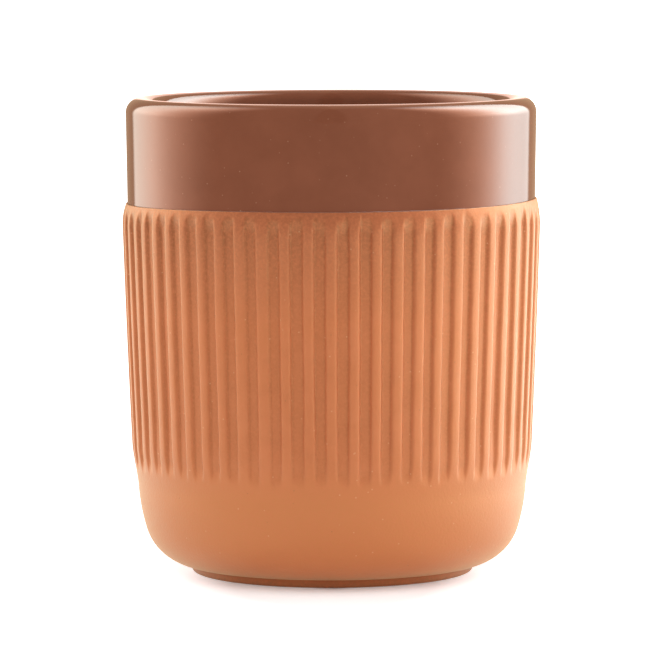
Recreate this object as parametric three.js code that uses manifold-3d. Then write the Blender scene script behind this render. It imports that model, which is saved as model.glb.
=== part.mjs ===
// A handleless mug: one fired terracotta body with a belt of cut flutes round it, and a brown
// glaze coat that lines the inside, rolls over the lip and ends in a band below it.
// Millimetres, +Z up. The origin is the middle of the foot, on the surface the mug stands on,
// and -Y is the front.

import * as THREE from 'three';
import { mergeVertices } from 'three/addons/utils/BufferGeometryUtils.js';
import Module from 'manifold-3d';

const wasm = await Module();
wasm.setup();

// The whole mug
const HEIGHT = 90;

// The lip, rounded with a larger radius outside than inside
const LIP_OUTER_ROUND = 2.8;
const LIP_INNER_ROUND = 2.2;

// The glazed band below the lip, measured on the surface of the glaze
const BAND_HEIGHT = 19.6;
const BAND_RADIUS = 38.6;
const BAND_FLARE = 0.25;

// The glaze coat and the thin bond between it and the clay
const GLAZE_THICKNESS = 0.4;
const BOND_GAP = 0.05;

// The bare clay shoulder between the glaze and the flutes
const SHOULDER_HEIGHT = 4.4;
const SHOULDER_STEP = 0.35;
const SHOULDER_FULLNESS = 0.6;

// The fluted belt
const BELT_STANDS_PROUD = 0.97;
const BELT_LEAN = THREE.MathUtils.degToRad(2.15);
const FLUTE_COUNT = 58;
const FLUTE_WIDTH = 2.55;
const FLUTE_SIDE_WIDTH = 0.4;
const FLUTE_DEPTH = 0.85;
const FLUTE_TIP_BELOW_GLAZE = 1.1;
const FLUTE_END_HEIGHT = 20.6;

// The soft step from the belt down to the plain lower wall, which lies behind the ridges
const RUN_OUT_BOTTOM = 16.2;
const RUN_OUT_HEIGHT = 8.1;
const LOWER_WALL_SETBACK = 0.88;

// The lower wall curves in with a large radius, and the base below it with a small one
const LOWER_WALL_ROUND = 37.9;
const BASE_ROUND = 9.8;
const BASE_ROUND_START = THREE.MathUtils.degToRad(16.6);
const BASE_ROUND_END = THREE.MathUtils.degToRad(72);

// The turned foot ring and the hollow inside it
const FOOT_RADIUS = 26.7;
const FOOT_HEIGHT = 1.8;
const FOOT_EDGE_ROUND = 0.5;
const FOOT_RING_WIDTH = 4.1;
const FOOT_HOLLOW_DEPTH = 1.4;
const FOOT_HOLLOW_SLOPE = 1.5;

// The inside of the cup
const FLOOR_THICKNESS = 5;
const INSIDE_ROUND = 13;

// How finely the round forms are cut into facets
const RING_SEGMENTS = FLUTE_COUNT;
const LIP_STEPS = 4;
const INSIDE_ROUND_STEPS = 5;
const LOWER_WALL_STEPS = 2;
const BASE_ROUND_STEPS = 6;
const RUN_OUT_STEPS = 4;
const SHOULDER_STEPS = 3;
const FOOT_EDGE_STEPS = 2;
const FLUTE_TIP_STEPS = 3;
const WELD_DISTANCE = 1e-4;

// Places worked out from the sizes above
const glazeLine = HEIGHT - BAND_HEIGHT;
const beltTop = glazeLine - SHOULDER_HEIGHT;
const beltTopRadius = BAND_RADIUS + BELT_STANDS_PROUD;
const beltBottom = RUN_OUT_BOTTOM + RUN_OUT_HEIGHT;
const floorTop = FOOT_HOLLOW_DEPTH + FLOOR_THICKNESS;
const flutePitch = (2 * Math.PI) / FLUTE_COUNT;

const point = (radius, height) => new THREE.Vector2(radius, height);

// Radius of the straight line along the tops of the ridges, at any height.
function beltRadius(height) {
  return beltTopRadius - (beltTop - height) * Math.tan(BELT_LEAN);
}

function arc(centre, radius, startAngle, endAngle, steps) {
  const clockwise = endAngle < startAngle;
  return new THREE.EllipseCurve(
    centre.x, centre.y, radius, radius, startAngle, endAngle, clockwise,
  ).getPoints(steps);
}

// Outline of the glazed surface at a depth below the glaze: up the outer band from the glaze
// line, over the lip, down the inside and along the floor to the axis. The inner wall leans
// like the belt, so the wall keeps its thickness.
function glazedOutline(depth) {
  const crest = BAND_RADIUS + BAND_FLARE - LIP_OUTER_ROUND;
  const outerCentre = point(crest, HEIGHT - LIP_OUTER_ROUND);
  const innerCentre = point(crest, HEIGHT - LIP_INNER_ROUND);
  const outerLip = arc(outerCentre, LIP_OUTER_ROUND - depth, 0, Math.PI / 2, LIP_STEPS);
  const innerLip = arc(
    innerCentre, LIP_INNER_ROUND - depth, Math.PI / 2, Math.PI - BELT_LEAN, LIP_STEPS,
  );
  const lip = [...outerLip, ...innerLip.slice(1)];

  const roundCentreHeight = floorTop + INSIDE_ROUND;
  const drop = innerCentre.y - roundCentreHeight;
  const wallRadius = crest - LIP_INNER_ROUND / Math.cos(BELT_LEAN) - drop * Math.tan(BELT_LEAN);
  const roundCentre = point(wallRadius - INSIDE_ROUND / Math.cos(BELT_LEAN), roundCentreHeight);
  const inside = arc(roundCentre, INSIDE_ROUND + depth, -BELT_LEAN, -Math.PI / 2, INSIDE_ROUND_STEPS);

  return [point(BAND_RADIUS - depth, glazeLine), ...lip, ...inside, point(0, floorTop - depth)];
}

// Outline of the bare clay, from the middle of the hollow under the foot up to the glaze line.
// The flutes are cut into it afterwards.
function bareOutline() {
  const hollowRadius = FOOT_RADIUS - FOOT_RING_WIDTH;
  const hollow = [
    point(0, FOOT_HOLLOW_DEPTH),
    point(hollowRadius - FOOT_HOLLOW_SLOPE, FOOT_HOLLOW_DEPTH),
    point(hollowRadius, 0),
  ];
  const footEdge = arc(
    point(FOOT_RADIUS - FOOT_EDGE_ROUND, FOOT_EDGE_ROUND), FOOT_EDGE_ROUND,
    -Math.PI / 2, 0, FOOT_EDGE_STEPS,
  );

  // The round of the base reaches the height of the foot at its lower end. It is tangent to the
  // lower wall at its upper end, and the wall goes on from there up to the run-out.
  const lowerWallTop = point(beltRadius(RUN_OUT_BOTTOM) - LOWER_WALL_SETBACK, RUN_OUT_BOTTOM);
  const roundHeight = FOOT_HEIGHT + BASE_ROUND * Math.sin(BASE_ROUND_END);
  const wallHeight = roundHeight + (LOWER_WALL_ROUND - BASE_ROUND) * Math.sin(BASE_ROUND_START);
  const topLean = Math.asin((wallHeight - RUN_OUT_BOTTOM) / LOWER_WALL_ROUND);
  const wallCentre = point(lowerWallTop.x - LOWER_WALL_ROUND * Math.cos(topLean), wallHeight);
  const roundOffset = (LOWER_WALL_ROUND - BASE_ROUND) * Math.cos(BASE_ROUND_START);
  const baseRound = arc(
    point(wallCentre.x + roundOffset, roundHeight), BASE_ROUND,
    -BASE_ROUND_END, -BASE_ROUND_START, BASE_ROUND_STEPS,
  );
  const lowerWall = arc(wallCentre, LOWER_WALL_ROUND, -BASE_ROUND_START, -topLean, LOWER_WALL_STEPS);

  // Between the lower wall and the belt the ridges swell out of the wall in a soft step.
  const swell = RUN_OUT_HEIGHT / 3;
  const runOut = new THREE.CubicBezierCurve(
    lowerWallTop,
    point(lowerWallTop.x + swell * Math.tan(topLean), RUN_OUT_BOTTOM + swell),
    point(beltRadius(beltBottom - swell), beltBottom - swell),
    point(beltRadius(beltBottom), beltBottom),
  ).getPoints(RUN_OUT_STEPS);

  const shoulderBend = beltTop + SHOULDER_HEIGHT * SHOULDER_FULLNESS;
  const shoulder = new THREE.QuadraticBezierCurve(
    point(beltTopRadius, beltTop),
    point(beltRadius(shoulderBend), shoulderBend),
    point(BAND_RADIUS + SHOULDER_STEP, glazeLine - BOND_GAP),
  ).getPoints(SHOULDER_STEPS);

  const footTop = point(FOOT_RADIUS, FOOT_HEIGHT);
  const wall = [...baseRound, ...lowerWall.slice(1), ...runOut.slice(1)];
  return [...hollow, ...footEdge, footTop, ...wall, ...shoulder];
}

// A geometry with shared corners merged and collapsed triangles dropped, so that it is one
// closed surface.
function weld(geometry) {
  geometry.deleteAttribute('normal');
  geometry.deleteAttribute('uv');
  const welded = mergeVertices(geometry, WELD_DISTANCE);
  const corners = welded.index.array;
  const kept = [];
  for (let i = 0; i < corners.length; i += 3) {
    const [a, b, c] = corners.slice(i, i + 3);
    if (a !== b && b !== c && c !== a) kept.push(a, b, c);
  }
  welded.setIndex(kept);
  return welded;
}

// A profile turned round +Z. The facets start half a pitch off the front, so that their edges
// fall in the flutes and each ridge has one clean face.
function turned(outline) {
  const lathe = new THREE.LatheGeometry(outline, RING_SEGMENTS, flutePitch / 2);
  lathe.rotateX(Math.PI / 2);
  return weld(lathe);
}

function toSolid(geometry) {
  return new wasm.Manifold(new wasm.Mesh({
    numProp: 3,
    vertProperties: new Float32Array(geometry.attributes.position.array),
    triVerts: new Uint32Array(geometry.index.array),
  }));
}

function toGeometry(solid) {
  const mesh = solid.getMesh();
  const geometry = new THREE.BufferGeometry();
  geometry.setAttribute('position', new THREE.BufferAttribute(mesh.vertProperties, 3));
  geometry.setIndex(new THREE.BufferAttribute(mesh.triVerts, 1));
  geometry.computeVertexNormals();
  return geometry;
}

// The cutter for one flute, lying along the front of the belt: a long slot with round ends,
// extruded outwards with a bevel, so that the flute gets a flat floor and sloping sides. Its
// lower end lies in the run-out, where the wall has drawn back and the flute is shallow.
function fluteCutter() {
  const floorHalf = FLUTE_WIDTH / 2 - FLUTE_SIDE_WIDTH;
  const bottom = FLUTE_END_HEIGHT + FLUTE_WIDTH / 2;
  const top = glazeLine - FLUTE_TIP_BELOW_GLAZE - FLUTE_WIDTH / 2;
  const length = (top - bottom) / Math.cos(BELT_LEAN);
  const slot = new THREE.Shape([
    ...arc(point(0, 0), floorHalf, -Math.PI, 0, FLUTE_TIP_STEPS),
    ...arc(point(0, length), floorHalf, 0, Math.PI, FLUTE_TIP_STEPS),
  ]);
  const bevelThickness = 2 * FLUTE_DEPTH;
  const bar = new THREE.ExtrudeGeometry(slot, {
    depth: FLUTE_DEPTH,
    bevelSegments: 1,
    bevelThickness,
    bevelSize: 2 * FLUTE_SIDE_WIDTH,
  });
  bar.translate(0, 0, bevelThickness);
  bar.rotateX(Math.PI / 2 + BELT_LEAN);
  const floorBehind = FLUTE_DEPTH / Math.cos(BELT_LEAN);
  return weld(bar.translate(0, -(beltRadius(bottom) - floorBehind), bottom));
}

function terracottaBody() {
  const outline = [...bareOutline(), ...glazedOutline(GLAZE_THICKNESS + BOND_GAP)];
  let solid = toSolid(turned(outline));
  for (let i = 0; i < FLUTE_COUNT; i += 1) {
    const cutter = fluteCutter().rotateZ((i + 0.5) * flutePitch);
    solid = solid.subtract(toSolid(cutter));
  }
  const clay = new THREE.MeshStandardMaterial({ color: 0xc67a50, roughness: 0.85, metalness: 0 });
  const mesh = new THREE.Mesh(toGeometry(solid), clay);
  mesh.name = 'terracotta_body';
  return mesh;
}

function glazeCoat() {
  const claySide = glazedOutline(GLAZE_THICKNESS).reverse();
  const geometry = turned([...claySide, ...glazedOutline(0)]);
  geometry.computeVertexNormals();
  const glaze = new THREE.MeshStandardMaterial({ color: 0x7d4936, roughness: 0.15, metalness: 0 });
  const mesh = new THREE.Mesh(geometry, glaze);
  mesh.name = 'glaze_coat';
  return mesh;
}

const mug = new THREE.Group();
mug.add(terracottaBody(), glazeCoat());

export default mug;
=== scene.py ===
# %% [markdown]
# # A handleless terracotta mug
# The mug is one fired clay body with a glassy brown glaze melted over its lip, its inside and a
# band below the lip. Under the band the bare clay has a belt of flutes cut into it, then a plain
# wall that rounds in to a small turned foot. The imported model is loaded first, as a fixed frame:
# its size is the mug's real size, and the pieces made here stand in the same place, in metres.

# %% Load the frame
import math
import random

import bmesh
import bpy
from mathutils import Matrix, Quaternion, Vector, noise
from mathutils.geometry import interpolate_bezier


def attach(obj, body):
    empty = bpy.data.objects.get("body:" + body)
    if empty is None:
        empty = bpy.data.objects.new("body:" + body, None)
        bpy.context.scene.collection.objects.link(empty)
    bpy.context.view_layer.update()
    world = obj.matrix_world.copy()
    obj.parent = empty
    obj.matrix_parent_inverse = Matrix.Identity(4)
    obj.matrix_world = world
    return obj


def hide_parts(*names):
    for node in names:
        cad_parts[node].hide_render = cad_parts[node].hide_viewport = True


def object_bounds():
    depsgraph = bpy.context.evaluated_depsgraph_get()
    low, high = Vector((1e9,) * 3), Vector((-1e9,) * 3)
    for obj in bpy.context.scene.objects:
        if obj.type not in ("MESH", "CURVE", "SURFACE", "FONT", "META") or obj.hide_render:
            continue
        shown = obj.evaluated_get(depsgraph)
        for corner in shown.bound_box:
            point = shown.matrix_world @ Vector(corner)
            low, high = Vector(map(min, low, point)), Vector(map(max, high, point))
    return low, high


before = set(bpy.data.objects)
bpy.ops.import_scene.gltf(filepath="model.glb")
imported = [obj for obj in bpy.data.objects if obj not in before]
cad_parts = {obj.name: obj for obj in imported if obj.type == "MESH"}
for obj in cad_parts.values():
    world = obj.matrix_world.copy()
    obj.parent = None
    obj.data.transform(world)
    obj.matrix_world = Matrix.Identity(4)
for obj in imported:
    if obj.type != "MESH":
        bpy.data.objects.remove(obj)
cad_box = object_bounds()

MM = 0.001
HEIGHT = cad_box[1].z / MM
print("mug height in mm:", round(HEIGHT, 2))

# %% [markdown]
# ## Camera
# A product photograph is taken with a long lens, so upright things stay upright. The camera looks
# slightly down, from about 0.9 m away, at a point half way up the mug. Placing it by the angle of
# elevation and the distance, and not by three bare coordinates, keeps the viewpoint easy to read.

# %% Place the camera
CAMERA_ELEVATION = math.radians(5.07)
CAMERA_DISTANCE = 0.9215
CAMERA_TARGET = Vector((0.00024, 0.0, 0.04514))
CAMERA_ROLL = math.radians(-0.17)
LENS_MM = 262.2
SENSOR_MM = 36.0
CLIP_NEAR = 0.05
CLIP_FAR = 50.0

camera_data = bpy.data.cameras.new("studio_camera")
camera_data.lens = LENS_MM
camera_data.sensor_width = SENSOR_MM
camera_data.clip_start = CLIP_NEAR
camera_data.clip_end = CLIP_FAR
camera = bpy.data.objects.new("studio_camera", camera_data)
to_camera = Vector((0.0, -math.cos(CAMERA_ELEVATION), math.sin(CAMERA_ELEVATION)))
camera.location = CAMERA_TARGET + to_camera * CAMERA_DISTANCE
aim = (-to_camera).to_track_quat("-Z", "Y") @ Quaternion((0.0, 0.0, 1.0), CAMERA_ROLL)
camera.rotation_euler = aim.to_euler()
bpy.context.scene.collection.objects.link(camera)
bpy.context.scene.camera = camera
bpy.context.scene.view_settings.view_transform = "Standard"
print("camera height in mm:", round(camera.location.z / MM, 1))

# %% [markdown]
# ## Turning an outline
# A mug is turned: its shape is half of its cross-section, swept once round the axis. Both pieces
# of the mug are made that way, so one helper draws the outline at the front, as radius and height
# in millimetres, and spins it. A spin of many fine steps is slow, so one sector is spun first and
# copies of it are then spun round the axis. Doubles are merged at the seams and at the poles, and
# the normals are recalculated afterwards, so that they all point out of the clay.

# %% Helpers for outlines
MERGE_DISTANCE = 1e-6


def arc(centre, radius, start, end, steps):
    """Points on an arc of an outline, with the angles in degrees, anticlockwise from outwards."""
    angles = [math.radians(start + (end - start) * i / steps) for i in range(steps + 1)]
    return [(centre[0] + radius * math.cos(a), centre[1] + radius * math.sin(a)) for a in angles]


def straight(start, end, steps):
    """Evenly spaced points along a straight stretch, without its first point."""
    return [tuple(Vector(start).lerp(Vector(end), i / steps)) for i in range(1, steps + 1)]


def curve(start, leave, arrive, end, steps):
    """Points along a cubic curve of an outline, without its first point."""
    knots = [Vector((*knot, 0.0)) for knot in (start, leave, arrive, end)]
    return [tuple(knot.xy) for knot in interpolate_bezier(*knots, steps + 1)[1:]]


def turned(outline, sectors, columns):
    """A bmesh spun from an outline that starts and ends on the axis, in sectors of a few columns."""
    shape = bmesh.new()
    verts = [shape.verts.new((0.0, -radius * MM, height * MM)) for radius, height in outline]
    edges = [shape.edges.new(pair) for pair in zip(verts, verts[1:])]
    axis = {"cent": (0.0, 0.0, 0.0), "axis": (0.0, 0.0, 1.0)}
    sector = 2 * math.pi / sectors
    bmesh.ops.spin(shape, geom=verts + edges, angle=sector, steps=columns, **axis)
    first = shape.verts[:] + shape.edges[:] + shape.faces[:]
    bmesh.ops.spin(shape, geom=first, angle=2 * math.pi - sector, steps=sectors - 1,
                   use_duplicate=True, **axis)
    bmesh.ops.remove_doubles(shape, verts=shape.verts, dist=MERGE_DISTANCE)
    bmesh.ops.recalc_face_normals(shape, faces=shape.faces)
    return shape


def angle_of(vert):
    """Angle of a vertex round the axis: 0 at the front, growing towards the right."""
    return math.atan2(vert.co.x, -vert.co.y)


def place(vert, radius, angle, height):
    """Move a vertex to a radius, an angle and a height, in millimetres and radians."""
    vert.co = Vector((radius * math.sin(angle), -radius * math.cos(angle), height)) * MM


print("a quarter round in two steps ends at height", round(arc((0.0, 0.0), 1.0, 0, 90, 2)[-1][1], 3))

# %% [markdown]
# ## The glazed surface
# The glaze is under half a millimetre thick, so the clay below it and the glaze itself share one
# outline at two depths: up the band, over the lip, down the inside and along the floor. The lip
# is rounded with a larger radius outside than inside.
# Writing that outline once, with the depth as a value, keeps the two from ever crossing. The
# glaze was dipped by hand, so its lower line is not quite level.

# %% Outline of the glazed surface
LIP_OUTER_ROUND = 2.8
LIP_INNER_ROUND = 2.2
BAND_HEIGHT = 19.6
BAND_RADIUS = 38.6
BAND_FLARE = 0.25
GLAZE_THICKNESS = 0.4
BOND_GAP = 0.05
WALL_LEAN = 2.15
FLOOR_HEIGHT = 6.4
INSIDE_ROUND = 13.0
GLAZE_LINE = HEIGHT - BAND_HEIGHT
LINE_TILT = 0.33
LINE_WAVE = 0.1


def glazed_outline(depth, band_rows, lip_rows, wall_rows, round_rows, floor_rows):
    """Outline of the glazed surface at a depth below it, from the glaze line to the axis."""
    lean = math.radians(WALL_LEAN)
    crest = BAND_RADIUS + BAND_FLARE - LIP_OUTER_ROUND
    round_height = FLOOR_HEIGHT + INSIDE_ROUND
    drop = (HEIGHT - LIP_INNER_ROUND - round_height) * math.tan(lean)
    wall_radius = crest - LIP_INNER_ROUND / math.cos(lean) - drop
    round_centre = (wall_radius - INSIDE_ROUND / math.cos(lean), round_height)
    outer = arc((crest, HEIGHT - LIP_OUTER_ROUND), LIP_OUTER_ROUND - depth, 0, 90, lip_rows)
    inner_centre = (crest, HEIGHT - LIP_INNER_ROUND)
    inner = arc(inner_centre, LIP_INNER_ROUND - depth, 90, 180 - WALL_LEAN, lip_rows)
    inside = arc(round_centre, INSIDE_ROUND + depth, -WALL_LEAN, -90, round_rows)
    start = (BAND_RADIUS - depth, GLAZE_LINE)
    points = [start, *straight(start, outer[0], band_rows), *outer[1:], *inner[1:]]
    points += straight(inner[-1], inside[0], wall_rows) + inside[1:]
    return points + straight(inside[-1], (0.0, FLOOR_HEIGHT - depth), floor_rows)


def line_shift(angle):
    """How far the hand-dipped glaze line lies above its mean height, in millimetres."""
    return LINE_TILT * math.sin(angle) - LINE_WAVE * math.sin(3 * angle)


print("glaze line in mm:", round(GLAZE_LINE, 2))

# %% [markdown]
# ## The clay body
# Below the glaze line the clay swells out by a third of a millimetre to a soft shoulder, and the
# belt leans in slowly from there. At its lower end the ridges sink into the plain wall, which
# curves in with a large radius and then with a small one, down to the foot. Each stretch is an
# arc or a curve of its own, so the outline holds only the points that the shape needs. A curve is
# given by its two ends and by two handles, which it leaves towards and arrives from.

# %% Outline of the bare clay
BELT_TOP = (39.57, GLAZE_LINE - 4.4)
BELT_BOTTOM = (38.0, 24.3)
BELT_BULGE = 0.08
BELT_ROWS = 30
SHOULDER_LEAVE = (BELT_TOP[0], BELT_TOP[1] + 1.8)
SHOULDER_ARRIVE = (39.27, GLAZE_LINE - 1.1)
SHOULDER_STEP = 0.35
SHOULDER_EDGE = (BAND_RADIUS + SHOULDER_STEP, GLAZE_LINE - 0.1)
LEDGE_ROUND = 0.2
LEDGE_START = 18
RUN_OUT_BOTTOM = (36.82, 16.2)
RUN_OUT_LEAVE = (36.98, 18.6)
RUN_OUT_ARRIVE = (37.77, 21.6)
WALL_CURVE = 37.9
BASE_ROUND = 9.8
WALL_START_LEAN = 4.5
BASE_START_LEAN = 16.6
BASE_END_LEAN = 72.0
FOOT_RADIUS = 26.7
FOOT_TOP = 1.8
FOOT_EDGE = 0.5
FOOT_FLARE = 0.6
RING_INNER = 22.3
HOLLOW_DEPTH = 1.4
HOLLOW_START = (RING_INNER - 1.2, HOLLOW_DEPTH)
HOLLOW_LEAVE = (RING_INNER - 0.5, HOLLOW_DEPTH)
HOLLOW_ARRIVE = (RING_INNER - 0.1, 0.4)
HOLLOW_END = (RING_INNER + 0.3, 0.0)


def belt_radius(height):
    """Radius of the tops of the ridges at a height: a line with a slight bulge."""
    share = (height - BELT_BOTTOM[1]) / (BELT_TOP[1] - BELT_BOTTOM[1])
    bulge = BELT_BULGE * 4 * share * (1 - share)
    return BELT_BOTTOM[0] + (BELT_TOP[0] - BELT_BOTTOM[0]) * share + bulge


def belt_outline():
    """Outline of the belt from its lower end up, without its first point."""
    rise = BELT_TOP[1] - BELT_BOTTOM[1]
    heights = [BELT_BOTTOM[1] + rise * i / BELT_ROWS for i in range(1, BELT_ROWS + 1)]
    return [(belt_radius(height), height) for height in heights]


def falling_arc(start, radius, start_lean, end_lean, steps):
    """An arc that goes down and inwards from a point, with its lean from upright in degrees."""
    lean = math.radians(start_lean)
    centre = (start[0] - radius * math.cos(lean), start[1] + radius * math.sin(lean))
    return arc(centre, radius, -start_lean, -end_lean, steps)


def bare_outline():
    """Outline of the clay from the middle of its underside up to the glaze line."""
    hollow = [(0.0, HOLLOW_DEPTH), HOLLOW_START]
    hollow += curve(HOLLOW_START, HOLLOW_LEAVE, HOLLOW_ARRIVE, HOLLOW_END, steps=4)
    wall = falling_arc(RUN_OUT_BOTTOM, WALL_CURVE, WALL_START_LEAN, BASE_START_LEAN, steps=7)
    base = falling_arc(wall[-1], BASE_ROUND, BASE_START_LEAN, BASE_END_LEAN, steps=12)
    foot = arc((FOOT_RADIUS - FOOT_EDGE, FOOT_EDGE), FOOT_EDGE, -90, 0, steps=5)
    foot_leave = (FOOT_RADIUS, FOOT_TOP)
    foot_arrive = (FOOT_RADIUS + FOOT_FLARE, FOOT_TOP)
    foot += curve(foot[-1], foot_leave, foot_arrive, base[-1], steps=6)
    run_out = curve(RUN_OUT_BOTTOM, RUN_OUT_LEAVE, RUN_OUT_ARRIVE, BELT_BOTTOM, steps=22)
    shoulder = curve(BELT_TOP, SHOULDER_LEAVE, SHOULDER_ARRIVE, SHOULDER_EDGE, steps=12)
    ledge_centre = (SHOULDER_EDGE[0] - LEDGE_ROUND, SHOULDER_EDGE[1])
    ledge = arc(ledge_centre, LEDGE_ROUND, LEDGE_START, 90, steps=3)
    slot = BAND_RADIUS + BOND_GAP
    ledge += [(slot, ledge[-1][1]), (slot, GLAZE_LINE - BOND_GAP)]
    ledge.append((BAND_RADIUS - GLAZE_THICKNESS - BOND_GAP, GLAZE_LINE - BOND_GAP))
    below = hollow + foot + [*reversed(wall + base[1:])][1:]
    return below + run_out + belt_outline() + shoulder + ledge


print("outline points below the glaze:", len(bare_outline()))

# %% [markdown]
# ## Cutting the flutes
# Fifty-eight flutes are cut side by side into the belt. The ridges left between them are slightly
# round, the flanks are soft and the floors are flat. One could cut them with booleans, but a mesh
# with a column of vertices along every edge of every ridge shades more cleanly and is easy to
# vary. So the body is spun with twelve columns for each pitch, and the columns are gathered
# towards the flanks. Their places are shares of the pitch, from the middle of a ridge to the
# middle of a flute.

# %% Profile of a flute
FLUTE_COUNT = 58
FLUTE_DEPTH = 0.58
RIDGE_CROWN = 0.1
RIDGE_HALF = 0.205
FLOOR_START = 0.305
HALF_PITCH = 0.5
PLACES = (0.0, 0.13, RIDGE_HALF, 0.255, FLOOR_START, 0.37, HALF_PITCH)
COLUMNS = 2 * (len(PLACES) - 1)
PITCH = 2 * math.pi / FLUTE_COUNT


def smooth(low, high, value):
    """Soft step from 0 at low to 1 at high."""
    share = min(max((value - low) / (high - low), 0.0), 1.0)
    return share * share * (3 - 2 * share)


def flute_depth(across):
    """Depth below the ridge's crown: a slightly round ridge, a soft flank and a flat floor."""
    crown = RIDGE_CROWN * min(across / RIDGE_HALF, 1.0) ** 2
    return crown + FLUTE_DEPTH * smooth(RIDGE_HALF, FLOOR_START, across)


print("pitch of the flutes in mm:", round(PITCH * BELT_TOP[0], 2))

# %% [markdown]
# ### The hand that cut them
# The flutes were cut by hand, so each ridge gets its own small errors of place, width, depth and
# length, from dice with a fixed seed that fall the same way each time. Its edges also waver along
# the way, by a noise that is read at a different place for each edge, and the spacing as a whole
# drifts a little round the mug.

# %% Small errors of the ridges
DICE_SEED = 58
EDGE_WAVER = 0.08
FINE_WAVER = 4.0
FINE_STEPS = (3.7, 5.1)
SLOW_WAVER = 15.0
SLOW_STEPS = (1.9, 2.3)
WAVER_START = (14.0, 20.0)
WAVER_END = (GLAZE_LINE - 2.0, GLAZE_LINE)
SPACING_DRIFT = math.radians(0.4)
SPACING_WAVES = 5

dice = random.Random(DICE_SEED)


def ridge_habits():
    """The small errors of one ridge: shares of the pitch, its width and its depth, then millimetres."""
    return {
        "shift": dice.gauss(0.0, 0.022),
        "width": dice.gauss(1.0, 0.06),
        "depth": dice.gauss(1.0, 0.05),
        "tip": dice.gauss(0.0, 0.25),
        "end": dice.gauss(0.0, 0.2),
    }


RIDGES = [ridge_habits() for _ in range(FLUTE_COUNT)]


def waver(ridge, side, height):
    """Sideways error of a ridge's edge at a height, in millimetres."""
    fine = Vector((ridge * FINE_STEPS[0], side * FINE_STEPS[1], height / FINE_WAVER))
    slow = Vector((ridge * SLOW_STEPS[0], side * SLOW_STEPS[1], height / SLOW_WAVER))
    return EDGE_WAVER * (noise.noise(fine) + noise.noise(slow))


def gathered_angle(ridge, across, radius, height):
    """Angle of a column, gathered towards its ridge, with the ridge's own errors."""
    habits = RIDGES[ridge % FLUTE_COUNT]
    side = math.copysign(1.0, across) if 0.0 < abs(across) < HALF_PITCH else 0.0
    stretch = habits["width"] if abs(across) <= FLOOR_START else 1.0
    gathered = across * stretch + habits["shift"] * (abs(across) < HALF_PITCH)
    in_belt = smooth(*WAVER_START, height) * (1 - smooth(*WAVER_END, height))
    drift = waver(ridge, side, height) * in_belt * abs(side) / radius
    angle = (ridge + gathered) * PITCH + drift
    return angle - SPACING_DRIFT * (1 - math.cos(SPACING_WAVES * angle))


print("widest ridge, as a share of the mean:", round(max(ridge["width"] for ridge in RIDGES), 2))

# %% [markdown]
# ### Pressing them in
# A flute starts in a round tip just below the glaze line and runs out softly into the plain wall.
# Between the two its vertices are pressed inwards, and the inside of the mug is left alone. The
# flutes get painted shade, darker and redder, where shade falls in the hollows. It is strongest in
# the corners of the floor and near the tips. That could be painted in a picture, but each vertex
# knows how deep in a flute it lies, so it is written down as an attribute, shade, which the clay's
# material reads. SHADES holds the painted shade at each of PLACES.

# %% Helpers that press the flutes and move the glaze line
FLUTE_TIP = GLAZE_LINE - 0.2
TIP_MARGIN = 1.0
TIP_RISE = 0.4
TIP_POWER = 1.5
TIP_LENGTH = 3.8
TIP_SHADE = (0.2, 1.4)
# Extra painted shade near the tips of the flutes
TIP_EXTRA_SHADE = 0.6
TIP_EXTRA_SHADE_END = 9.0
FLUTE_END = 19.5
END_RISE = 0.4
END_POWER = 2
END_LENGTH = 3.4
END_DEPTH = 0.65
FULL_DEPTH_HEIGHT = 32.0
SHADES = (0.0, 0.0, 0.05, 0.5, 1.0, 0.55, 0.47)
ON_AXIS = 1e-6
LINE_NEAR = 3.0


def cut_flutes(shape):
    """Gather the columns of a turned body into ridges and press the flutes in between them."""
    shade = shape.verts.layers.float.new("shade")
    for vert in shape.verts:
        radius = math.hypot(vert.co.x, vert.co.y) / MM
        height = vert.co.z / MM
        if radius < ON_AXIS:
            continue
        column = round(angle_of(vert) / PITCH * COLUMNS)
        ridge = round(column / COLUMNS)
        step = column - ridge * COLUMNS
        across = math.copysign(PLACES[abs(step)], step)
        angle = gathered_angle(ridge, across, radius, height)
        pressed = 0.0
        outside = radius > BAND_RADIUS - LIP_OUTER_ROUND
        if outside and RUN_OUT_BOTTOM[1] < height < FLUTE_TIP + TIP_MARGIN:
            habits = RIDGES[ridge % FLUTE_COUNT]
            from_middle = min((HALF_PITCH - abs(across)) / (HALF_PITCH - RIDGE_HALF), 1.0)
            below_tip = FLUTE_TIP + habits["tip"] - TIP_RISE * from_middle ** TIP_POWER - height
            above_end = height - FLUTE_END - habits["end"] - END_RISE * from_middle ** END_POWER
            press = END_DEPTH + (1 - END_DEPTH) * smooth(FLUTE_END, FULL_DEPTH_HEIGHT, height)
            press *= smooth(0.0, END_LENGTH, above_end)
            # Painted shade in the flutes, darkest in the corners and near the tips
            painted_shade = smooth(*TIP_SHADE, below_tip) * press
            painted_shade *= 1 + TIP_EXTRA_SHADE * (1 - smooth(TIP_SHADE[1], TIP_EXTRA_SHADE_END, below_tip))
            vert[shade] = painted_shade * SHADES[abs(step)]
            press *= smooth(0.0, TIP_LENGTH, below_tip)
            pressed = flute_depth(abs(across)) * habits["depth"] * press
        place(vert, radius - pressed, angle, height)


def follow_glaze_line(shape):
    """Move the vertices beside the glaze line up and down with it."""
    for vert in shape.verts:
        height = vert.co.z / MM
        outside = math.hypot(vert.co.x, vert.co.y) / MM > BAND_RADIUS - LIP_OUTER_ROUND
        if outside and height > GLAZE_LINE - LINE_NEAR:
            fade = 1 - smooth(0.0, LINE_NEAR, abs(height - GLAZE_LINE))
            vert.co.z += line_shift(angle_of(vert)) * fade * MM


print("flutes in mm run from", FLUTE_END, "to", round(FLUTE_TIP, 2))

# %% [markdown]
# ## Building the clay body
# The body's outline continues under the glaze as a seat, just deeper than the glaze is thick, so
# that the clay is one closed shell, as it is on the bench before glazing. Smooth shading is right
# for all of it: every edge of the real clay is a little round, and the rounds are in the outline.


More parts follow.
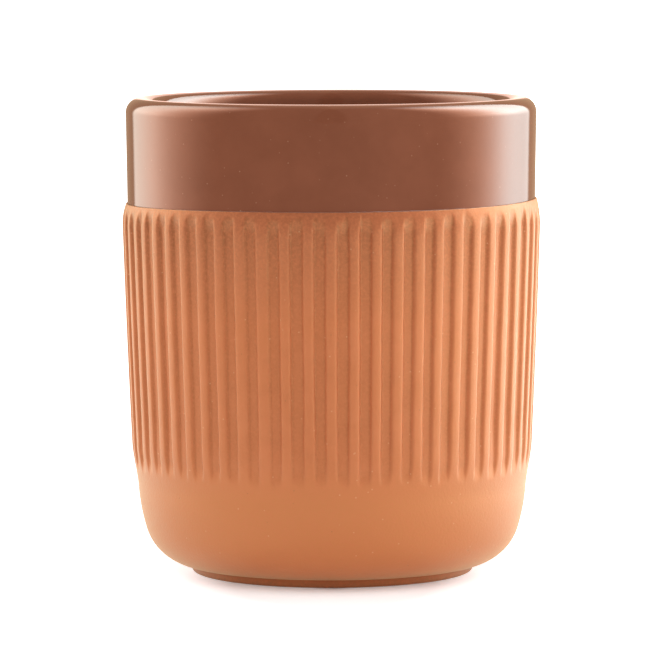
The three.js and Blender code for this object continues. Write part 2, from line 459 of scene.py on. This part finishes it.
# %% Build the clay body
def finished(shape, name):
    """Turn a bmesh into a piece of the mug that stands for the solid of the same name."""
    for face in shape.faces:
        face.smooth = True
    mesh = bpy.data.meshes.new(name)
    shape.to_mesh(mesh)
    shape.free()
    piece = bpy.data.objects.new(name + "_skin", mesh)
    bpy.context.scene.collection.objects.link(piece)
    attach(piece, "root")
    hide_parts(name)
    print(piece.name, "has", len(mesh.polygons), "faces")
    return piece


seat = glazed_outline(GLAZE_THICKNESS + BOND_GAP, band_rows=3, lip_rows=4, wall_rows=3,
                      round_rows=6, floor_rows=1)
body_shape = turned(bare_outline() + seat, sectors=FLUTE_COUNT, columns=COLUMNS)
cut_flutes(body_shape)
follow_glaze_line(body_shape)
body = finished(body_shape, "terracotta_body")

# %% [markdown]
# ## The glaze coat
# The glaze is a closed skin of its own, so that it can take a glossy material and end in a real
# edge. Its lower edge is rounded like a bead, where the melt stopped, and a row of points just
# above the bead keeps its shading from spreading up the band. The surface is never quite true:
# slow swells of a hundredth of a millimetre bend the reflections slightly.

# %% Build the glaze coat
GLAZE_EDGE = 0.06
EDGE_HOLD = 4 * GLAZE_EDGE
SWELL = 0.012
SWELL_SIZE = 14.0


def glaze_outline():
    """Closed outline of the glaze: its clay side from the axis out, its edge, then its surface."""
    clay_side = glazed_outline(GLAZE_THICKNESS, band_rows=5, lip_rows=6, wall_rows=6,
                               round_rows=10, floor_rows=3)
    surface = glazed_outline(0.0, band_rows=12, lip_rows=14, wall_rows=12,
                             round_rows=14, floor_rows=4)
    edge_centre = (BAND_RADIUS - GLAZE_EDGE, GLAZE_LINE + GLAZE_EDGE)
    edge = arc(edge_centre, GLAZE_EDGE, -90, 0, steps=4)
    hold = (BAND_RADIUS, GLAZE_LINE + EDGE_HOLD)
    return [*reversed(clay_side), *edge, hold, *surface[1:]]


glaze_shape = turned(glaze_outline(), sectors=32, columns=8)
for vert in glaze_shape.verts:
    swell = noise.noise(vert.co / (SWELL_SIZE * MM))
    vert.co += vert.normal * swell * SWELL * MM
follow_glaze_line(glaze_shape)
glaze = finished(glaze_shape, "glaze_coat")

# %% [markdown]
# ## Materials
# Both materials are built from nodes that read the piece's own coordinates, in metres. Colours are
# written as sRGB values, as a colour picker shows them, and one function makes them linear. The
# size of each pattern is given in millimetres, and the node's scale is worked out from it.


# %% Helpers for materials
def linear(colour):
    """Linear RGBA of an sRGB hex colour."""
    channels = [int(colour[i:i + 2], 16) / 255 for i in (0, 2, 4)]
    return (*[c / 12.92 if c <= 0.04045 else ((c + 0.055) / 1.055) ** 2.4 for c in channels], 1.0)


def per_metre(size_mm):
    """Scale of a pattern whose features are that many millimetres across."""
    return 1.0 / (size_mm * MM)


def add_node(tree, kind, inputs, **settings):
    """Add a node. Settings go on the node, and inputs are values or the sockets they come from."""
    node = tree.nodes.new(kind)
    for name, value in settings.items():
        setattr(node, name, value)
    for socket, value in inputs.items():
        if isinstance(value, bpy.types.NodeSocket):
            tree.links.new(value, node.inputs[socket])
        else:
            node.inputs[socket].default_value = value
    return node


def new_material(name):
    """An empty node material and its output node."""
    material = bpy.data.materials.new(name)
    material.use_nodes = True
    material.node_tree.nodes.clear()
    return material, material.node_tree.nodes.new("ShaderNodeOutputMaterial")


# Sockets of the colour mix node, which has several that share a name
MIX_FACTOR = 0
MIX_FIRST = 6
MIX_SECOND = 7
MIX_RESULT = 2
print("middle grey is", round(linear("808080")[0], 3), "in linear light")

# %% [markdown]
# ### Fired terracotta
# Terracotta is red clay fired without a glaze. It is matt and faintly mottled, where iron and lime
# are spread unevenly. A picture could show that, but two layers of noise need no file and have no
# seam round the mug: slow mottling between two tones of orange, and redder patches over it.

# %% Mottled clay
CLAY = "C06038"
CLAY_PALE = "C66640"
CLAY_RED = "BA5B36"
MOTTLE_SIZE = 8.0
PATCH_SIZE = 3.0

terracotta, output = new_material("fired_terracotta")
tree = terracotta.node_tree
coords = add_node(tree, "ShaderNodeTexCoord", {}).outputs["Object"]

mottle = add_node(tree, "ShaderNodeTexNoise", {
    "Vector": coords, "Scale": per_metre(MOTTLE_SIZE), "Detail": 3.0, "Roughness": 0.6})
mottle_share = add_node(tree, "ShaderNodeMapRange", {
    "Value": mottle.outputs["Fac"], "From Min": 0.35, "From Max": 0.68})
clay = add_node(tree, "ShaderNodeMix", {
    MIX_FACTOR: mottle_share.outputs["Result"], MIX_FIRST: linear(CLAY),
    MIX_SECOND: linear(CLAY_PALE)}, data_type="RGBA")

patch = add_node(tree, "ShaderNodeTexNoise", {
    "Vector": coords, "Scale": per_metre(PATCH_SIZE), "Detail": 2.0, "Roughness": 0.5})
patch_share = add_node(tree, "ShaderNodeMapRange", {
    "Value": patch.outputs["Fac"], "From Min": 0.45, "From Max": 0.75, "To Max": 0.6})
clay = add_node(tree, "ShaderNodeMix", {
    MIX_FACTOR: patch_share.outputs["Result"], MIX_FIRST: clay.outputs[MIX_RESULT],
    MIX_SECOND: linear(CLAY_RED)}, data_type="RGBA")
print("mottling in mm:", MOTTLE_SIZE, "with patches of", PATCH_SIZE)

# %% [markdown]
# ### Tones by place, with painted light and shade
# The clay is not one colour from top to bottom. The plain wall is a little yellower than the belt,
# a painted highlight for the yellowish sheen at its edges. Below the glaze line the clay is darker,
# partly a stain from what the glaze gave off in the kiln and partly painted shade at the top of the
# belt. It is lighter on the right, which is painted light from the stronger lamp there. The foot
# is darker at the bottom, a painted shadow where it meets the floor. Those tones need only the
# height and the side, so no map has to be painted. The flutes' painted shade comes from the shade
# attribute. It multiplies the clay's colour, so that it shows in the darker clay below the glaze
# line as well.

# %% Tones of the clay by place
# These colours hold painted light and shade: a yellower wall as a painted highlight, a band that is
# partly painted shade, a foot in painted shadow and a flute tint of painted shade
CLAY_SHEEN_WALL = "C2673B"
CLAY_STAINED_SHADED = "A54E31"
CLAY_FOOT_SHADOW = "8A4832"
FLUTE_SHADE_TINT = "E2C9B2"
SHEEN_WALL_HEIGHT = (23.0, 17.0)
STAIN_AND_SHADE_HEIGHT = (50.0, 69.0)
PAINTED_LIGHT_SIDE = (0.0, 40.0)
FOOT_SHADOW_HEIGHT = (0.3, 2.0)

position = add_node(tree, "ShaderNodeSeparateXYZ", {"Vector": coords})
# Plain wall made yellower: a painted highlight for the yellowish sheen at its edges
sheen_wall_share = add_node(tree, "ShaderNodeMapRange", {
    "Value": position.outputs["Z"],
    "From Min": SHEEN_WALL_HEIGHT[0] * MM, "From Max": SHEEN_WALL_HEIGHT[1] * MM})
clay = add_node(tree, "ShaderNodeMix", {
    MIX_FACTOR: sheen_wall_share.outputs["Result"], MIX_FIRST: clay.outputs[MIX_RESULT],
    MIX_SECOND: linear(CLAY_SHEEN_WALL)}, data_type="RGBA")

# Darker clay below the glaze line, partly a stain and partly painted shade; lighter on the right as
# painted light
stain_and_shade_share = add_node(tree, "ShaderNodeMapRange", {
    "Value": position.outputs["Z"],
    "From Min": STAIN_AND_SHADE_HEIGHT[0] * MM, "From Max": STAIN_AND_SHADE_HEIGHT[1] * MM})
painted_light_side = add_node(tree, "ShaderNodeMapRange", {
    "Value": position.outputs["X"],
    "From Min": PAINTED_LIGHT_SIDE[0] * MM, "From Max": PAINTED_LIGHT_SIDE[1] * MM, "To Min": 1.0, "To Max": 0.5})
stain_and_shade = add_node(tree, "ShaderNodeMath", {
    0: stain_and_shade_share.outputs["Result"], 1: painted_light_side.outputs["Result"]}, operation="MULTIPLY")
clay = add_node(tree, "ShaderNodeMix", {
    MIX_FACTOR: stain_and_shade.outputs["Value"], MIX_FIRST: clay.outputs[MIX_RESULT],
    MIX_SECOND: linear(CLAY_STAINED_SHADED)}, data_type="RGBA")

# Painted shade in the flutes, read from the shade attribute, multiplies the clay's colour
shade = add_node(tree, "ShaderNodeAttribute", {}, attribute_name="shade")
flute_shade_share = add_node(tree, "ShaderNodeMapRange", {"Value": shade.outputs["Fac"], "To Max": 0.85})
clay = add_node(tree, "ShaderNodeMix", {
    MIX_FACTOR: flute_shade_share.outputs["Result"], MIX_FIRST: clay.outputs[MIX_RESULT],
    MIX_SECOND: linear(FLUTE_SHADE_TINT)}, data_type="RGBA", blend_type="MULTIPLY")

# Painted shadow on the foot, darkest where it meets the floor
foot_shadow_share = add_node(tree, "ShaderNodeMapRange", {
    "Value": position.outputs["Z"],
    "From Min": FOOT_SHADOW_HEIGHT[0] * MM, "From Max": FOOT_SHADOW_HEIGHT[1] * MM, "To Min": 0.65, "To Max": 0.0})
clay = add_node(tree, "ShaderNodeMix", {
    MIX_FACTOR: foot_shadow_share.outputs["Result"], MIX_FIRST: clay.outputs[MIX_RESULT],
    MIX_SECOND: linear(CLAY_FOOT_SHADOW)}, data_type="RGBA")
print("clay is stained from", STAIN_AND_SHADE_HEIGHT[0], "mm up")

# %% [markdown]
# ### Grit, grains and pits
# The clay holds fine grit, a few pale grains of lime and small open pits, whose darker colour is
# painted shade. Noise of 0.5 mm is the grit, which is a little coarser than life so that it shows.
# Grains and pits are the middles of scattered cells, a few millimetres apart. The pits' cells are
# moved sideways, so that a pit doesn't fall on every grain.

# %% Grit, grains and pits
GRAIN_PALE = "DFAA80"
PIT_SHADE = "96552F"
GRIT_SIZE = 0.5
GRAIN_SPACING = 2.4
PIT_SPACING = 3.1
PIT_OFFSET = (0.013, 0.007, 0.021)

grit = add_node(tree, "ShaderNodeTexNoise", {
    "Vector": coords, "Scale": per_metre(GRIT_SIZE), "Detail": 2.0, "Roughness": 0.6})
grit_share = add_node(tree, "ShaderNodeMapRange", {
    "Value": grit.outputs["Fac"], "From Min": 0.4, "From Max": 0.75, "To Max": 0.6})
clay = add_node(tree, "ShaderNodeMix", {
    MIX_FACTOR: grit_share.outputs["Result"], MIX_FIRST: clay.outputs[MIX_RESULT],
    MIX_SECOND: linear(CLAY_PALE)}, data_type="RGBA")

grains = add_node(tree, "ShaderNodeTexVoronoi", {
    "Vector": coords, "Scale": per_metre(GRAIN_SPACING)})
grain_share = add_node(tree, "ShaderNodeMapRange", {
    "Value": grains.outputs["Distance"],
    "From Min": 0.04, "From Max": 0.08, "To Min": 0.35, "To Max": 0.0})
clay = add_node(tree, "ShaderNodeMix", {
    MIX_FACTOR: grain_share.outputs["Result"], MIX_FIRST: clay.outputs[MIX_RESULT],
    MIX_SECOND: linear(GRAIN_PALE)}, data_type="RGBA")

pit_place = add_node(tree, "ShaderNodeMapping", {"Vector": coords, "Location": PIT_OFFSET})
pits = add_node(tree, "ShaderNodeTexVoronoi", {
    "Vector": pit_place.outputs["Vector"], "Scale": per_metre(PIT_SPACING)})
pit_share = add_node(tree, "ShaderNodeMapRange", {
    "Value": pits.outputs["Distance"],
    "From Min": 0.03, "From Max": 0.06, "To Min": 0.5, "To Max": 0.0})
# Pits are painted darker: painted shade in them
clay = add_node(tree, "ShaderNodeMix", {
    MIX_FACTOR: pit_share.outputs["Result"], MIX_FIRST: clay.outputs[MIX_RESULT],
    MIX_SECOND: linear(PIT_SHADE)}, data_type="RGBA")
print("pale grains are", GRAIN_SPACING, "mm apart, pits", PIT_SPACING)

# %% [markdown]
# ### Relief and sheen
# The grit stands up and the pits go in by a tenth of a millimetre or less, so bumps are enough and
# the mesh stays light. Bare clay is rough, yet its grains catch the light at a glancing angle. A
# broad gloss and a dusty sheen give that, both tinted a little yellow, because what this clay
# mirrors is yellower than the lamps. The tints are set on the shader and not by nodes, because an
# export keeps only plain values there.

# %% Finish the terracotta
GLOSS_TINT = "EEFFBC"
DUST_TINT = "FFF5B0"
GRIT_RELIEF = 0.08
PIT_RELIEF = 0.1

grit_bump = add_node(tree, "ShaderNodeBump", {
    "Height": grit.outputs["Fac"], "Strength": 0.5, "Distance": GRIT_RELIEF * MM})
pit_bump = add_node(tree, "ShaderNodeBump", {
    "Height": pit_share.outputs["Result"], "Normal": grit_bump.outputs["Normal"],
    "Strength": 0.6, "Distance": PIT_RELIEF * MM}, invert=True)
grit_gloss = add_node(tree, "ShaderNodeMapRange", {
    "Value": grit.outputs["Fac"],
    "From Min": 0.3, "From Max": 0.7, "To Min": 0.42, "To Max": 0.5})
shader = add_node(tree, "ShaderNodeBsdfPrincipled", {
    "Base Color": clay.outputs[MIX_RESULT], "Roughness": grit_gloss.outputs["Result"],
    "IOR": 1.6, "Specular IOR Level": 0.7, "Specular Tint": linear(GLOSS_TINT),
    "Normal": pit_bump.outputs["Normal"],
    "Sheen Weight": 0.4, "Sheen Roughness": 0.4, "Sheen Tint": linear(DUST_TINT)})
tree.links.new(shader.outputs["BSDF"], output.inputs["Surface"])
body.data.materials.append(terracotta)
print("nodes in the terracotta:", len(tree.nodes))

# %% [markdown]
# ### Brown glaze
# The glaze is a coloured glass. It is smooth and glossy, and the clay's red comes through where it
# is thin, so its tone drifts slowly between two browns. Tiny pale flecks of undissolved mineral
# float in it, some stronger than others. A faint orange-peel bump, 2 mm across, keeps the
# reflections from being too perfect. Real glass over clay could be made with transmission, but the
# coat is so thin that a plain coloured gloss looks the same and exports well.

# %% Make the glaze
GLAZE_BROWN = "7F4A35"
GLAZE_RED = "864F39"
FLECK_PALE = "C79A7C"
DRIFT_SIZE = 9.0
FLECK_SPACING = 1.5
PEEL_SIZE = 2.0
PEEL_RELIEF = 0.02

brown_glaze, output = new_material("brown_glaze")
tree = brown_glaze.node_tree
coords = add_node(tree, "ShaderNodeTexCoord", {}).outputs["Object"]
drift = add_node(tree, "ShaderNodeTexNoise", {
    "Vector": coords, "Scale": per_metre(DRIFT_SIZE), "Detail": 3.0, "Roughness": 0.55})
drift_share = add_node(tree, "ShaderNodeMapRange", {
    "Value": drift.outputs["Fac"], "From Min": 0.35, "From Max": 0.65})
brown = add_node(tree, "ShaderNodeMix", {
    MIX_FACTOR: drift_share.outputs["Result"], MIX_FIRST: linear(GLAZE_BROWN),
    MIX_SECOND: linear(GLAZE_RED)}, data_type="RGBA")

flecks = add_node(tree, "ShaderNodeTexVoronoi", {
    "Vector": coords, "Scale": per_metre(FLECK_SPACING)})
chance = add_node(tree, "ShaderNodeSeparateColor", {"Color": flecks.outputs["Color"]})
fleck_strength = add_node(tree, "ShaderNodeMapRange", {
    "Value": chance.outputs["Red"], "From Min": 0.2, "To Max": 0.4})
fleck_share = add_node(tree, "ShaderNodeMapRange", {
    "Value": flecks.outputs["Distance"], "From Min": 0.04, "From Max": 0.11,
    "To Min": fleck_strength.outputs["Result"], "To Max": 0.0})
brown = add_node(tree, "ShaderNodeMix", {
    MIX_FACTOR: fleck_share.outputs["Result"], MIX_FIRST: brown.outputs[MIX_RESULT],
    MIX_SECOND: linear(FLECK_PALE)}, data_type="RGBA")

peel = add_node(tree, "ShaderNodeTexNoise", {
    "Vector": coords, "Scale": per_metre(PEEL_SIZE), "Detail": 1.0, "Roughness": 0.4})
peel_bump = add_node(tree, "ShaderNodeBump", {
    "Height": peel.outputs["Fac"], "Strength": 0.25, "Distance": PEEL_RELIEF * MM})
gloss = add_node(tree, "ShaderNodeMapRange", {
    "Value": drift.outputs["Fac"],
    "From Min": 0.3, "From Max": 0.7, "To Min": 0.035, "To Max": 0.065})
shader = add_node(tree, "ShaderNodeBsdfPrincipled", {
    "Base Color": brown.outputs[MIX_RESULT], "Roughness": gloss.outputs["Result"],
    "IOR": 1.55, "Normal": peel_bump.outputs["Normal"]})
tree.links.new(shader.outputs["BSDF"], output.inputs["Surface"])
glaze.data.materials.append(brown_glaze)
print("nodes in the glaze:", len(tree.nodes))

# %% [markdown]
# ## The studio
# The mug stands on a white sweep, and the world round it is white. It could be lit by the world
# alone, but then nothing would set how bright the white looks apart from how much it lights. So the
# world asks which kind of ray is looking: camera and mirror rays see plain white, and the rays that
# light the mug see slightly less.

# %% White world
FILL = 0.98
SKY_WHITE = (1.0, 1.0, 1.0, 1.0)


def seen_directly(tree):
    """Socket that is 1 or more for camera, glossy and transmission rays, and 0 for the rest."""
    path = add_node(tree, "ShaderNodeLightPath", {})
    mirror = add_node(tree, "ShaderNodeMath", {
        0: path.outputs["Is Glossy Ray"], 1: path.outputs["Is Transmission Ray"]}, operation="ADD")
    direct = add_node(tree, "ShaderNodeMath", {
        0: path.outputs["Is Camera Ray"], 1: mirror.outputs["Value"]}, operation="ADD")
    return direct.outputs["Value"]


world = bpy.data.worlds.new("studio")
bpy.context.scene.world = world
world.use_nodes = True
tree = world.node_tree
tree.nodes.clear()
level = add_node(tree, "ShaderNodeMapRange", {
    "Value": seen_directly(tree), "To Min": FILL, "To Max": 1.0})
sky = add_node(tree, "ShaderNodeBackground", {
    "Color": SKY_WHITE, "Strength": level.outputs["Result"]})
add_node(tree, "ShaderNodeOutputWorld", {"Surface": sky.outputs["Background"]})
print("nodes in the world:", len(tree.nodes))

# %% [markdown]
# ### Floor
# The floor takes the mug's shadow, because part of its brightness is ordinary lit white. The rest
# is a glow that only camera and mirror rays see. It grows away from the front of the foot, faster
# sideways than forwards, so that the shadow stays dark only where the mug touches the floor. More
# glow is added on both sides, mostly on the right, where the softboxes spill onto the sweep and
# the bottom of the mug mirrors them. Each glow has a place where it starts and one where it is
# full, in metres, and a strength.

# %% Material of the sweep
FLOOR_WHITE = (0.92, 0.92, 0.92, 1.0)
SHADOW_MIDDLE = (0.0, -0.022, 0.0)
SHADOW_SQUEEZE = (1.5, 1.0, 1.0)
NEAR_GLOW = (0.0025, 0.0075, 0.22)
FAR_GLOW = (0.028, 0.045, 0.5)
SOFTBOX_SPILL = ((-0.05, -0.12, 0.3), (0.045, 0.2, 3.3))

white_sweep, output = new_material("white_sweep")
tree = white_sweep.node_tree
coords = add_node(tree, "ShaderNodeTexCoord", {}).outputs["Object"]
squeezed = add_node(tree, "ShaderNodeVectorMath", {
    0: coords, 1: SHADOW_SQUEEZE}, operation="MULTIPLY")
away = add_node(tree, "ShaderNodeVectorMath", {
    0: squeezed.outputs["Vector"], 1: SHADOW_MIDDLE}, operation="DISTANCE")
sideways = add_node(tree, "ShaderNodeSeparateXYZ", {"Vector": coords})

glow_parts = [(away.outputs["Value"], *NEAR_GLOW), (away.outputs["Value"], *FAR_GLOW)]
glow_parts += [(sideways.outputs["X"], *spill) for spill in SOFTBOX_SPILL]
glow_level = 0.0
for measure, start, end, strength in glow_parts:
    part = add_node(tree, "ShaderNodeMapRange", {
        "Value": measure, "From Min": start, "From Max": end, "To Max": strength})
    glow_level = add_node(tree, "ShaderNodeMath", {
        0: glow_level, 1: part.outputs["Result"]}, operation="ADD").outputs["Value"]
floor_glow = add_node(tree, "ShaderNodeEmission", {"Strength": glow_level})

lit = add_node(tree, "ShaderNodeBsdfDiffuse", {"Color": FLOOR_WHITE})
shown = add_node(tree, "ShaderNodeAddShader", {
    0: lit.outputs["BSDF"], 1: floor_glow.outputs["Emission"]})
sweep = add_node(tree, "ShaderNodeMixShader", {
    0: seen_directly(tree), 1: lit.outputs["BSDF"], 2: shown.outputs["Shader"]})
tree.links.new(sweep.outputs["Shader"], output.inputs["Surface"])
print("parts of the floor's glow:", len(glow_parts))

# %% [markdown]
# The floor is a large disc, so that its edge never shows. It lies a hair below the foot, because
# two faces at the same height would flicker.

# %% Lay the floor
FLOOR_RADIUS = 9.0
FLOOR_DROP = 0.02
FLOOR_SEGMENTS = 96


def staged(shape, name, material):
    """Put a bmesh into the scene as an object with one material."""
    mesh = bpy.data.meshes.new(name)
    shape.to_mesh(mesh)
    shape.free()
    thing = bpy.data.objects.new(name, mesh)
    mesh.materials.append(material)
    bpy.context.scene.collection.objects.link(thing)
    return thing


floor_shape = bmesh.new()
bmesh.ops.create_circle(floor_shape, cap_ends=True, segments=FLOOR_SEGMENTS, radius=FLOOR_RADIUS)
bmesh.ops.translate(floor_shape, verts=floor_shape.verts, vec=(0.0, 0.0, -FLOOR_DROP * MM))
staged(floor_shape, "floor", white_sweep)
print("floor radius in m:", FLOOR_RADIUS)

# %% [markdown]
# ### Lamps
# Two large soft lamps stand beside the mug, slightly behind it, and the right one is stronger. They
# brighten both edges of the clay and leave the middle to the white world. The gloss doesn't see
# them, because what it mirrors is made apart, on the dome below.

# %% Set up the lamps
LAMP_DISTANCE = 0.7
LAMP_AZIMUTH = {"left": 110.0, "right": 99.0}
LAMP_HEIGHT = 0.25
LAMP_SIZE = (0.65, 0.6)
LAMP_RADIANCE = {"left": 0.55, "right": 1.55}

for sign, side in ((-1, "left"), (1, "right")):
    azimuth = math.radians(LAMP_AZIMUTH[side]) * sign
    spot = Vector((math.sin(azimuth), -math.cos(azimuth), 0.0)) * LAMP_DISTANCE
    spot.z = LAMP_HEIGHT
    lamp_data = bpy.data.lights.new("lamp_" + side, "AREA")
    lamp_data.shape = "RECTANGLE"
    lamp_data.size, lamp_data.size_y = LAMP_SIZE
    lamp_data.energy = LAMP_RADIANCE[side] * math.pi * LAMP_SIZE[0] * LAMP_SIZE[1]
    lamp = bpy.data.objects.new("lamp_" + side, lamp_data)
    lamp.location = spot
    lamp.rotation_euler = (CAMERA_TARGET - spot).to_track_quat("-Z", "Y").to_euler()
    lamp.visible_camera = False
    lamp.visible_glossy = False
    bpy.context.scene.collection.objects.link(lamp)
    print(lamp.name, "gives", round(lamp_data.energy, 2), "W")

# %% [markdown]
# ### What the gloss mirrors
# Gloss shows the room, and a glazed mug shows it sharply. A dome round the mug, which only mirror
# rays see, glows like a studio does. It is dim in front, with a dark gap straight ahead above the
# horizon. On both sides it has a tall softbox, which fades out softly towards the front and ends
# sharply at the back, and that sharp end gives the glaze its crisp pale edge. The back is a warm
# shade, with a narrow bright board straight behind, from the horizon up, for the light on the lip.
# A pair is where a soft step starts and ends, in degrees, with 0 in front and 180 behind, and a
# third value is how much it changes. FRONT_TURN and BOARD_HALF_WIDTH are sideways shares of the
# direction instead, and FRONT_LEVEL is the level on the left and on the right.

# %% Light of the studio by direction
FRONT_GAP = (6.5, 10.0)
FRONT_GAP_BOTTOM = (-2.0, 0.5)
FRONT_LEVEL = (0.2, 0.4)
FRONT_TURN = (-0.5, 0.5)
SOFTBOX_FRONT = {"left": (62.0, 116.0), "right": (60.0, 112.0)}
SOFTBOX_FALL = {"left": (112.0, 150.0, 0.52), "right": (106.0, 142.0, 0.58)}
SOFTBOX_BACK = (140.6, 145.6)
SOFTBOX_TOP = (48.0, 78.0)
SOFTBOX_RISE = {"left": (-3.0, 12.0, 0.4), "right": (-3.0, 14.0, 1.0)}
SOFTBOX_LEVEL = {"left": 4.45, "right": 5.6}
SOFTBOX_HUE = {"left": (84.0, 150.0), "right": (78.0, 126.0)}
SOFTBOX_WARM = Vector(linear("FFC3A6"))
SOFTBOX_LIGHT = {"left": Vector(linear("FFF3E3")), "right": Vector(linear("FFFDF7"))}
BOARD_HALF_WIDTH = (0.12, 0.17)
BOARD_BOTTOM = (-0.2, 0.9)
BOARD_TOP = (30.0, 62.0)
BOARD_LIGHT = Vector((2.2, 1.45, 1.2, 1.0))
SHADE_LEVEL = {"left": 0.55, "right": 0.68}
SHADE_LIGHT = Vector(linear("FFD6AD"))


def glow_from(way):
    """Light that comes from one direction of the studio, as a linear colour."""
    side = "right" if way.x > 0 else "left"
    azimuth = math.degrees(math.atan2(abs(way.x), -way.y))
    elevation = math.degrees(math.asin(way.z))
    overhead = math.degrees(math.atan2(way.z, abs(way.x)))
    fall_start, fall_end, fall = SOFTBOX_FALL[side]
    rise_start, rise_end, rise = SOFTBOX_RISE[side]
    softbox = SOFTBOX_LEVEL[side] * smooth(*SOFTBOX_FRONT[side], azimuth)
    softbox *= 1 - fall * smooth(fall_start, fall_end, azimuth)
    softbox *= 1 + rise * smooth(rise_start, rise_end, elevation)
    softbox *= 1 - smooth(*SOFTBOX_TOP, overhead)
    front = FRONT_LEVEL[0] + (FRONT_LEVEL[1] - FRONT_LEVEL[0]) * smooth(*FRONT_TURN, way.x)
    front *= 1 - (1 - smooth(*FRONT_GAP, azimuth)) * smooth(*FRONT_GAP_BOTTOM, elevation)
    hue = SOFTBOX_WARM.lerp(SOFTBOX_LIGHT[side], smooth(*SOFTBOX_HUE[side], azimuth))
    board = smooth(*BOARD_BOTTOM, elevation) * (1 - smooth(*BOARD_TOP, elevation))
    board *= 1 - smooth(*BOARD_HALF_WIDTH, abs(way.x))
    back = (SHADE_LIGHT * SHADE_LEVEL[side]).lerp(BOARD_LIGHT, board)
    return (hue * (front + softbox)).lerp(back, smooth(*SOFTBOX_BACK, azimuth))


print("light from the right:", [round(part, 2) for part in glow_from(Vector((1.0, 0.0, 0.0)))])

# %% [markdown]
# The light is painted on the dome's vertices as a colour attribute, which takes that one plain
# function and no long chain of nodes. A fine grid is bent into the dome: across it runs the angle
# round the mug, and up it the height above the floor.

# %% Paint the dome
DOME_RADIUS = 0.6
DOME_COLUMNS = 360
DOME_ROWS = 150
EYE = Vector((0.0, 0.0, 0.08))

studio_glow, output = new_material("studio_glow")
tree = studio_glow.node_tree
painted = add_node(tree, "ShaderNodeAttribute", {}, attribute_name="glow")
light = add_node(tree, "ShaderNodeEmission", {"Color": painted.outputs["Color"]})
tree.links.new(light.outputs["Emission"], output.inputs["Surface"])

dome_shape = bmesh.new()
bmesh.ops.create_grid(dome_shape, x_segments=DOME_COLUMNS, y_segments=DOME_ROWS, size=1.0)
glow = dome_shape.verts.layers.float_color.new("glow")
reach = DOME_RADIUS / MM
for vert in dome_shape.verts:
    rise = (vert.co.y + 1) * math.pi / 4
    place(vert, reach * math.cos(rise), vert.co.x * math.pi, reach * math.sin(rise))
    vert[glow] = glow_from((vert.co - EYE).normalized())
dome = staged(dome_shape, "studio_dome", studio_glow)
dome.visible_camera = False
dome.visible_diffuse = False
dome.visible_transmission = False
dome.visible_shadow = False
print("dome radius in m:", DOME_RADIUS)
